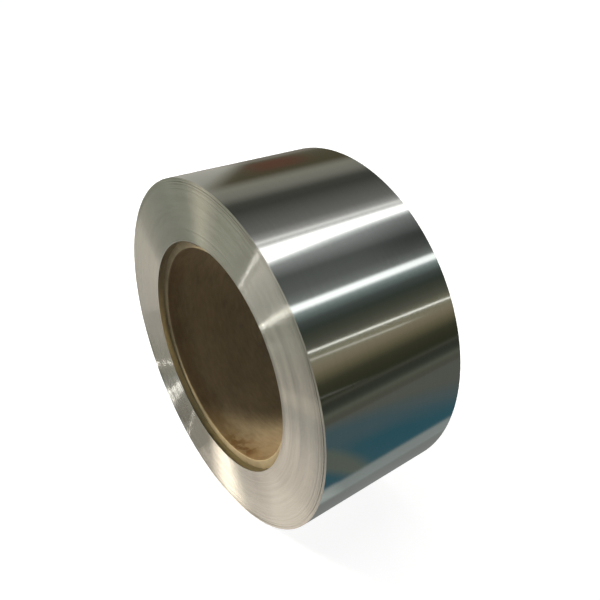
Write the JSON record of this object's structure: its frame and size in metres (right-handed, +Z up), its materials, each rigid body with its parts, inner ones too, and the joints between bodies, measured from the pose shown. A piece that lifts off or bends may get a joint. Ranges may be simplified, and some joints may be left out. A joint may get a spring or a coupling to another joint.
{
  "type": "coil of permalloy strip",
  "caption": "Coil of thin, narrow nickel-iron alloy strip wound tightly on a paper-fibre core tube, lying on its rim.",
  "frame": {"origin": "on the floor, under the middle of the coil as it lies on its rim", "axes": "+Y along the coil's axis, +Z up, and +X across it"},
  "size_m": [0.2432, 0.106, 0.2429],
  "materials": {
    "strip": "bright rolled, edges slit and circular-brushed",
    "core": "matt wound paper fibre"
  },
  "bodies": {
    "root": {"strip_coil": "strip", "core_tube": "core"}
  },
  "joints": []
}
